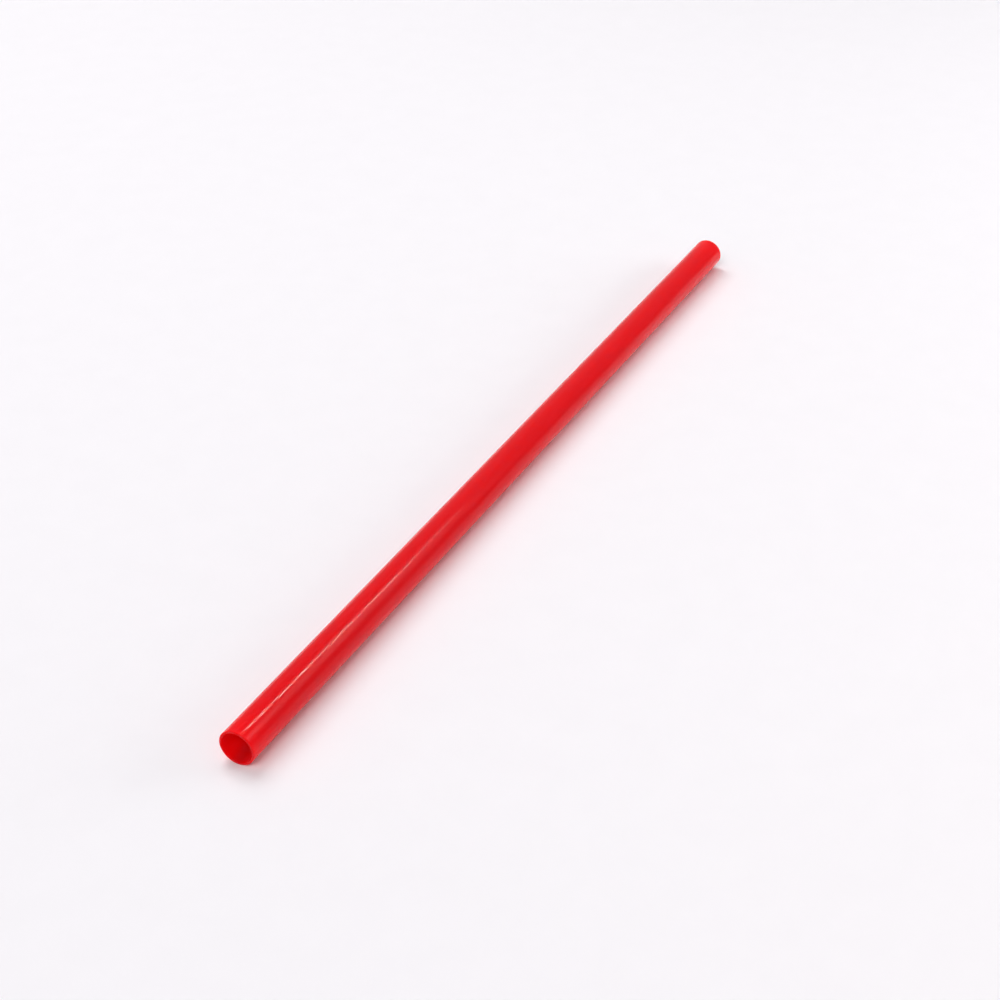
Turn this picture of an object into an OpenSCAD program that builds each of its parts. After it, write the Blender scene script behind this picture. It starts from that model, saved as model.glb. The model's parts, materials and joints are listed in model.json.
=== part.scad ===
// Reusable drinking straw.
// One straight plastic tube, extruded, cut square to length and rounded at both rims.
// It lies along X, with its underside on Z = 0 and its middle over the origin.

/* [Tube] */
// Length from rim to rim
straw_length = 240; // [120:1:320]
// Diameter over the outside
outer_diameter = 8; // [5:0.1:14]
// Thickness of the wall
wall = 0.5; // [0.4:0.05:1.5]

/* [Rims] */
// Radius that rounds the outer edge of each rim
outer_edge_radius = 0.2; // [0.05:0.05:0.5]
// Radius that rounds the inner edge of each rim
inner_edge_radius = 0.15; // [0.05:0.05:0.5]

/* [Hidden] */
$fn = 96;

straw_red = "#e0151b";
outer_radius = outer_diameter / 2;
bore_radius = outer_radius - wall;

// Most of the wall that each rounding may take, so that a narrow flat land is left between the two.
outer_round_share = 0.5;
inner_round_share = 0.4;
outer_round = min(outer_edge_radius, outer_round_share * wall);
inner_round = min(inner_edge_radius, inner_round_share * wall);

// What rounding takes off a square corner that stands at the origin, in the quadrant of +X and +Y.
module corner_waste(radius) {
    difference() {
        square(radius);
        translate([radius, radius]) circle(radius);
    }
}

// The two corners of one rim: the outer one at X = outer_radius, the inner one at X = bore_radius.
module rim_waste() {
    translate([outer_radius, 0]) mirror([1, 0]) corner_waste(outer_round);
    translate([bore_radius, 0]) corner_waste(inner_round);
}

// The wall cut lengthwise: radius along X, length along Y.
module wall_section() {
    difference() {
        translate([bore_radius, 0]) square([wall, straw_length]);
        rim_waste();
        translate([0, straw_length]) mirror([0, 1]) rim_waste();
    }
}

module straw() {
    color(straw_red)
        translate([-straw_length / 2, 0, outer_radius])
            rotate([0, 90, 0])
                rotate_extrude() wall_section();
}

straw();
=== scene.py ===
import json
import math

import bpy
from mathutils import Matrix, Vector


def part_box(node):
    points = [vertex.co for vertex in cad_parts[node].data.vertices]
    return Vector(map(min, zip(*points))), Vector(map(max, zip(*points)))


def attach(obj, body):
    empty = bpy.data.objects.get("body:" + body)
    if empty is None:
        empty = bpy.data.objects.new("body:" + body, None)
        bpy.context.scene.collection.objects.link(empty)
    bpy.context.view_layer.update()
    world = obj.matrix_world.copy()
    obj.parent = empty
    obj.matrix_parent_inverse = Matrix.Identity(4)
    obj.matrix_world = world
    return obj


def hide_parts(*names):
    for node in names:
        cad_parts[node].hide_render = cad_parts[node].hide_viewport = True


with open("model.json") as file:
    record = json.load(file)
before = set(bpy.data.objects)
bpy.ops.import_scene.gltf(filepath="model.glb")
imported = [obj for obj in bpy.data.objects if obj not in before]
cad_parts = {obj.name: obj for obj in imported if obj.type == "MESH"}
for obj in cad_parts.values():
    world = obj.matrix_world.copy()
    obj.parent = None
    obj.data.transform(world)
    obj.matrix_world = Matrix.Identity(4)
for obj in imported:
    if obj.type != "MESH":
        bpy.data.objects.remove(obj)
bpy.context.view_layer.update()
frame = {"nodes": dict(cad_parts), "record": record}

mm = 0.001                              # lengths below are in millimetres, Blender works in metres
print("frame loaded:", ", ".join(frame["nodes"]))


def hexToLinear(hexColour):
    channels = [int(hexColour[i:i + 2], 16) / 255 for i in (0, 2, 4)]
    return [c / 12.92 if c <= 0.04045 else ((c + 0.055) / 1.055) ** 2.4 for c in channels] + [1.0]


def addNode(tree, kind, settings, links=None):
    node = tree.nodes.new(kind)
    for name, value in settings.items():
        if isinstance(name, int) or name in node.inputs:
            node.inputs[name].default_value = value
        else:
            setattr(node, name, value)
    for name, source in (links or {}).items():
        tree.links.new(source, node.inputs[name])
    return node


def newMaterial(name):
    material = bpy.data.materials.new(name)
    material.use_nodes = True
    material.node_tree.nodes.clear()
    return material, material.node_tree


# camera, fitted to the tube's two edges and two rims in the picture
cameraView = {
    "lens": 66.26,                      # mm, on a sensor 36 mm wide
    "sensor": 36.0,
    "tiltDown": 33.693,                 # degrees below level
    "turn": 27.268,                     # degrees from the line of sight over the floor to the tube
    "height": 238.18,                   # above the floor
    "toNearRim": 265.75,                # over the floor to the foot of the near rim
    "nearRimLeft": 50.32,               # that foot lies this far left of the line of sight
    "clipStart": 10.0,
}

tubeLow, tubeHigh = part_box("straw")
turn = math.radians(cameraView["turn"])
ahead = Vector((math.cos(turn), math.sin(turn), 0))
toRight = Vector((math.sin(turn), -math.cos(turn), 0))
nearFoot = Vector((tubeLow.x, 0, 0))

cameraData = bpy.data.cameras.new("camera")
cameraData.lens = cameraView["lens"]
cameraData.sensor_width = cameraView["sensor"]
cameraData.sensor_fit = "HORIZONTAL"
cameraData.clip_start = cameraView["clipStart"] * mm
camera = bpy.data.objects.new("camera", cameraData)
bpy.context.collection.objects.link(camera)
camera.location = (nearFoot - ahead * cameraView["toNearRim"] * mm
                   + toRight * cameraView["nearRimLeft"] * mm + Vector((0, 0, cameraView["height"] * mm)))
camera.rotation_euler = (math.radians(90 - cameraView["tiltDown"]), 0, turn - math.radians(90))
bpy.context.scene.camera = camera
print("camera placed")


# the straw: its section is turned about the X axis, with true roundings on both rims
strawForm = {
    "aroundSteps": 192,
    "alongSteps": 60,
    "outerEdgeSteps": 8,                # faces on the rounding of the outer edge
    "innerEdgeSteps": 6,
    "holdingRing": 0.08,                # a ring this close to a rounding keeps the wall's shading straight
}

mountSizes = {mount["name"]: mount["dims"] for mount in frame["record"]["mounts"]}
halfLength = (tubeHigh.x - tubeLow.x) / 2
outerRadius = mountSizes["outside"]["r_mm"] * mm
boreRadius = mountSizes["drink_bore"]["r_mm"] * mm
outerEdge = halfLength - mountSizes["outside"]["length_mm"] * mm / 2        # radius of the outer rounding
innerEdge = halfLength - mountSizes["drink_bore"]["length_mm"] * mm / 2


def wallRun(halfRun, radius):
    hold = halfRun - strawForm["holdingRing"] * mm
    steps = strawForm["alongSteps"]
    return [(hold * (2 * i / steps - 1), radius) for i in range(steps + 1)]


def edgeArc(centreX, centreRadius, edgeRadius, startAngle, endAngle, steps):
    angles = [math.radians(startAngle + (endAngle - startAngle) * i / steps) for i in range(steps + 1)]
    return [(centreX + edgeRadius * math.cos(a), centreRadius + edgeRadius * math.sin(a)) for a in angles]


def farRim():
    outerArc = edgeArc(halfLength - outerEdge, outerRadius - outerEdge, outerEdge, 90, 0,
                       strawForm["outerEdgeSteps"])
    innerArc = edgeArc(halfLength - innerEdge, boreRadius + innerEdge, innerEdge, 0, -90,
                       strawForm["innerEdgeSteps"])
    return outerArc + innerArc


def strawSection():
    rim = farRim()
    nearRim = [(-x, radius) for x, radius in reversed(rim)]
    outerWall = wallRun(halfLength - outerEdge, outerRadius)
    boreWall = wallRun(halfLength - innerEdge, boreRadius)
    return outerWall + rim + boreWall[::-1] + nearRim


def makeStraw():
    section = strawSection()
    around = strawForm["aroundSteps"]
    vertices = []
    for x, radius in section:
        for i in range(around):
            angle = 2 * math.pi * i / around
            vertices.append((x, radius * math.sin(angle), outerRadius - radius * math.cos(angle)))
    faces = []
    for ring in range(len(section)):
        nextRing = (ring + 1) % len(section)
        for i in range(around):
            j = (i + 1) % around
            faces.append((ring * around + i, ring * around + j,
                          nextRing * around + j, nextRing * around + i))
    mesh = bpy.data.meshes.new("straw_tube")
    mesh.from_pydata(vertices, [], faces)
    mesh.validate()
    mesh.shade_smooth()
    tube = bpy.data.objects.new("straw_tube", mesh)
    bpy.context.collection.objects.link(tube)
    return tube


straw = makeStraw()
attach(straw, "root")
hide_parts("straw")
print("straw turned:", len(straw.data.polygons), "faces")


# extruded polypropylene, coloured right through: a clean but weak gloss with faint lines drawn along it
# by the die, a thin wall that lets red light through, and cut ends that are duller, with painted shade
# darkening their colour
polypropylene = {
    "pigment": "f0121a",
    "paleStreak": "f3161e",             # where the pigment ran a little thinner
    "cutPaintedShade": "d21017",             # painted shade: the cut rims get a darker colour that stands in for less light falling on them
    "ior": 1.49,
    "shine": 0.1,                       # specular level, matched to the weak mirror image of the floor
    "gloss": 0.08,                      # roughness of the drawn skin
    "cutGloss": 0.3,                    # roughness of the cut rims
    "lightReach": (1.0, 0.04, 0.035),   # how far red, green and blue light wander, times the next value
    "lightReachSize": 1.9,
    "lightShare": 1.0,                  # share of the light that wanders in the plastic
    "streakWidth": 1.8,                 # pigment streaks across and along the tube
    "streakLength": 70.0,
    "dieLineWidth": 0.35,               # real die lines are finer, these are as coarse as shows
    "dieLineLength": 120.0,
    "dieLineDepth": 0.00005,
    "cutZone": 0.22,                    # the cut rim is this deep
}


def makePolypropylene():
    look = polypropylene
    material, tree = newMaterial("extrudedPolypropylene")
    where = addNode(tree, "ShaderNodeTexCoord", {})
    streaksPerMetre = 1 / (look["streakWidth"] * mm)
    streakPlace = addNode(tree, "ShaderNodeMapping", {
        "Scale": (1 / (look["streakLength"] * mm), streaksPerMetre, streaksPerMetre),
    }, {"Vector": where.outputs["Object"]})
    streaks = addNode(tree, "ShaderNodeTexNoise", {"Scale": 1.0, "Detail": 3.0, "Roughness": 0.55},
                      {"Vector": streakPlace.outputs["Vector"]})
    colour = addNode(tree, "ShaderNodeMix", {
        "data_type": "RGBA", 6: hexToLinear(look["pigment"]), 7: hexToLinear(look["paleStreak"]),
    }, {0: streaks.outputs["Fac"]})
    linesPerMetre = 1 / (look["dieLineWidth"] * mm)
    linePlace = addNode(tree, "ShaderNodeMapping", {
        "Scale": (1 / (look["dieLineLength"] * mm), linesPerMetre, linesPerMetre),
    }, {"Vector": where.outputs["Object"]})
    dieLines = addNode(tree, "ShaderNodeTexNoise", {"Scale": 1.0, "Detail": 2.0, "Roughness": 0.5},
                       {"Vector": linePlace.outputs["Vector"]})
    along = addNode(tree, "ShaderNodeSeparateXYZ", {}, {"Vector": where.outputs["Object"]})
    fromMiddle = addNode(tree, "ShaderNodeMath", {"operation": "ABSOLUTE"}, {0: along.outputs["X"]})
    atCut = addNode(tree, "ShaderNodeMapRange", {
        "From Min": halfLength - look["cutZone"] * mm, "From Max": halfLength,
    }, {"Value": fromMiddle.outputs["Value"]})
    gloss = addNode(tree, "ShaderNodeMapRange", {"To Min": look["gloss"], "To Max": look["cutGloss"]},
                    {"Value": atCut.outputs["Result"]})
    # painted shade: the colour darkens across the cut rims
    colourWithPaintedShade = addNode(tree, "ShaderNodeMix", {"data_type": "RGBA", 7: hexToLinear(look["cutPaintedShade"])},
                        {0: atCut.outputs["Result"], 6: colour.outputs[2]})
    relief = addNode(tree, "ShaderNodeBump", {"Strength": 1.0, "Distance": look["dieLineDepth"] * mm},
                     {"Height": dieLines.outputs["Fac"]})
    skin = addNode(tree, "ShaderNodeBsdfPrincipled", {
        "IOR": look["ior"], "Specular IOR Level": look["shine"], "Subsurface Weight": look["lightShare"],
        "Subsurface Radius": look["lightReach"], "Subsurface Scale": look["lightReachSize"] * mm,
    }, {
        "Base Color": colourWithPaintedShade.outputs[2], "Roughness": gloss.outputs["Result"],
        "Normal": relief.outputs["Normal"],
    })
    addNode(tree, "ShaderNodeOutputMaterial", {}, {"Surface": skin.outputs["BSDF"]})
    return material


straw.data.materials.append(makePolypropylene())
print("straw finished in polypropylene")


# matt white card: even and pale, with the very faint mottle of its pulp
card = {
    "white": "f5f2f6",
    "mottle": "f2eff3",
    "mottleSize": 9.0,                  # real pulp is finer, this is as coarse as shows
    "roughness": 0.55,
    "ior": 1.45,
    "side": 8000.0,
}


def makeCard():
    material, tree = newMaterial("mattWhiteCard")
    where = addNode(tree, "ShaderNodeTexCoord", {})
    mottle = addNode(tree, "ShaderNodeTexNoise", {"Scale": 1 / (card["mottleSize"] * mm), "Detail": 4.0},
                     {"Vector": where.outputs["Object"]})
    colour = addNode(tree, "ShaderNodeMix", {
        "data_type": "RGBA", 6: hexToLinear(card["white"]), 7: hexToLinear(card["mottle"]),
    }, {0: mottle.outputs["Fac"]})
    face = addNode(tree, "ShaderNodeBsdfPrincipled", {"Roughness": card["roughness"], "IOR": card["ior"]},
                   {"Base Color": colour.outputs[2]})
    addNode(tree, "ShaderNodeOutputMaterial", {}, {"Surface": face.outputs["BSDF"]})
    return material


half = card["side"] * mm / 2
cardCorners = [(-half, -half, 0), (half, -half, 0), (half, half, 0), (-half, half, 0)]
floorMesh = bpy.data.meshes.new("floor")
floorMesh.from_pydata(cardCorners, [], [(0, 1, 2, 3)])
floor = bpy.data.objects.new("floor", floorMesh)
bpy.context.collection.objects.link(floor)
floor.data.materials.append(makeCard())
print("floor laid")


# studio light in a dim room: a soft box on the left, a low lamp on the right and a lamp behind the camera
# light the straw, a thin curved tube lamp ahead is mirrored as the bright line along it, and a faint panel
# as the paler band beside that line; every lamp faces the middle of the straw
softBox = {"centre": (300, 590, 1010), "width": 640, "depth": 800, "radiance": 4.75}
sideLamp = {"centre": (380, -480, 150), "width": 500, "depth": 260, "radiance": 4.1}
backLamp = {"centre": (-1200, -135, 1290), "width": 600, "depth": 690, "radiance": 7.6}
panel = {
    "centre": (670, -607, 556), "width": 440, "depth": 640,
    "radiance": 3.0,
    "fadeAlong": (0.25, 1.0),           # shares of its width between which it fades out
    "fadeAcross": (0.0, 0.6),           # shares of its depth between which it fades in
}
tubeLamp = {
    "start": (322, 42, 600), "bend": (385, -210, 600), "end": (630, -222, 600),
    "pieces": 12,
    "width": 20,
    "radiance": 78.0,
    "colour": "ffeddd",                 # warm white
    "dimStart": 0.22,                   # share of the brightness at the start
    "startRise": 2.5,                   # gained over the lamp's whole length, up to full brightness
    "dimEnd": 0.3,                      # the same from its end
    "endRise": 1.8,
}
room = {
    "colour": "ffffff",
    "walls": [                          # brightness by direction: -1 looks back along X, 1 ahead
        (-1.0, 0.75), (-0.75, 0.75), (-0.4, 0.3), (0.42, 0.3), (0.57, 0.29), (0.85, 0.39), (1.0, 0.39),
    ],
    "tilt": 1.2,                        # brighter on the left than on the right, mostly ahead and behind
}
alongStraw = Vector((1, 0, 0))


def addLamp(name, form, runDirection, gloss=True, diffuse=True):
    lamp = bpy.data.lights.new(name, "AREA")
    lamp.shape = "RECTANGLE"
    lamp.size = form["width"] * mm
    lamp.size_y = form["depth"] * mm
    lamp.energy = form["radiance"] * math.pi * lamp.size * lamp.size_y     # watts for that brightness
    lampObject = bpy.data.objects.new(name, lamp)
    bpy.context.collection.objects.link(lampObject)
    place = Vector(form["centre"]) * mm
    back = place.normalized()
    side = (runDirection - back * runDirection.dot(back)).normalized()
    turned = Matrix((side, back.cross(side), back)).transposed().to_4x4()
    lampObject.matrix_world = Matrix.Translation(place) @ turned
    lampObject.visible_camera = False
    lampObject.visible_glossy = gloss           # whether the straw mirrors it
    lampObject.visible_diffuse = diffuse        # whether it lights what it shines on
    return lamp


def fadePanel(lamp):
    lamp.use_nodes = True
    tree = lamp.node_tree
    tree.nodes.clear()
    spot = addNode(tree, "ShaderNodeNewGeometry", {})
    spotParts = addNode(tree, "ShaderNodeSeparateXYZ", {}, {"Vector": spot.outputs["Parametric"]})
    fadeAlong = addNode(tree, "ShaderNodeMapRange", {
        "interpolation_type": "SMOOTHSTEP", "To Min": 1.0, "To Max": 0.0,
        "From Min": panel["fadeAlong"][0], "From Max": panel["fadeAlong"][1],
    }, {"Value": spotParts.outputs["X"]})
    fadeAcross = addNode(tree, "ShaderNodeMapRange", {
        "interpolation_type": "SMOOTHSTEP", "To Min": 0.0, "To Max": 1.0,
        "From Min": panel["fadeAcross"][0], "From Max": panel["fadeAcross"][1],
    }, {"Value": spotParts.outputs["Y"]})
    fade = addNode(tree, "ShaderNodeMath", {"operation": "MULTIPLY"},
                   {0: fadeAlong.outputs["Result"], 1: fadeAcross.outputs["Result"]})
    face = addNode(tree, "ShaderNodeEmission", {}, {"Strength": fade.outputs["Value"]})
    addNode(tree, "ShaderNodeOutputLight", {}, {"Surface": face.outputs["Emission"]})


def tubeLampPoint(share):
    start, bend, end = Vector(tubeLamp["start"]), Vector(tubeLamp["bend"]), Vector(tubeLamp["end"])
    return start.lerp(bend, share).lerp(bend.lerp(end, share), share)


addLamp("softBox", softBox, alongStraw, gloss=False)
addLamp("sideLamp", sideLamp, alongStraw, gloss=False)
addLamp("backLamp", backLamp, alongStraw)
fadePanel(addLamp("panel", panel, alongStraw, diffuse=False))

for i in range(tubeLamp["pieces"]):
    near, far = (tubeLampPoint(step / tubeLamp["pieces"]) for step in (i, i + 1))
    share = (i + 0.5) / tubeLamp["pieces"]
    fromStart = tubeLamp["dimStart"] + tubeLamp["startRise"] * share
    fromEnd = tubeLamp["dimEnd"] + tubeLamp["endRise"] * (1 - share)
    piece = {
        "centre": (near + far) / 2, "width": (far - near).length, "depth": tubeLamp["width"],
        "radiance": tubeLamp["radiance"] * min(1.0, fromStart, fromEnd),
    }
    pieceLamp = addLamp(f"tubeLamp{i}", piece, (far - near).normalized(), diffuse=False)
    pieceLamp.color = hexToLinear(tubeLamp["colour"])[:3]

world = bpy.data.worlds.new("room")
bpy.context.scene.world = world
world.use_nodes = True
worldTree = world.node_tree
worldTree.nodes.clear()
lookWay = addNode(worldTree, "ShaderNodeTexCoord", {})
wayParts = addNode(worldTree, "ShaderNodeSeparateXYZ", {}, {"Vector": lookWay.outputs["Generated"]})
acrossRoom = addNode(worldTree, "ShaderNodeMapRange", {"From Min": -1.0, "From Max": 1.0},
                     {"Value": wayParts.outputs["X"]})
wallLevel = addNode(worldTree, "ShaderNodeValToRGB", {}, {"Fac": acrossRoom.outputs["Result"]})
wallLevel.color_ramp.interpolation = "EASE"
stops = wallLevel.color_ramp.elements
while len(stops) < len(room["walls"]):
    stops.new(0.5)                      # each is put in its own place just below
for stop, (way, level) in zip(stops, room["walls"]):
    stop.position = (way + 1) / 2
    stop.color = (level, level, level, 1)
alongShare = addNode(worldTree, "ShaderNodeMath", {"operation": "MULTIPLY"},
                     {0: wayParts.outputs["X"], 1: wayParts.outputs["X"]})
leftShare = addNode(worldTree, "ShaderNodeMath", {"operation": "MULTIPLY"},
                    {0: alongShare.outputs["Value"], 1: wayParts.outputs["Y"]})
tilted = addNode(worldTree, "ShaderNodeMath", {"operation": "MULTIPLY_ADD", 1: room["tilt"], 2: 1.0},
                 {0: leftShare.outputs["Value"]})
roomLight = addNode(worldTree, "ShaderNodeMath", {"operation": "MULTIPLY"},
                    {0: wallLevel.outputs["Color"], 1: tilted.outputs["Value"]})
sky = addNode(worldTree, "ShaderNodeBackground", {"Color": hexToLinear(room["colour"])},
              {"Strength": roomLight.outputs["Value"]})
addNode(worldTree, "ShaderNodeOutputWorld", {}, {"Surface": sky.outputs["Background"]})
bpy.context.scene.view_settings.view_transform = "Standard"
print("lights set")
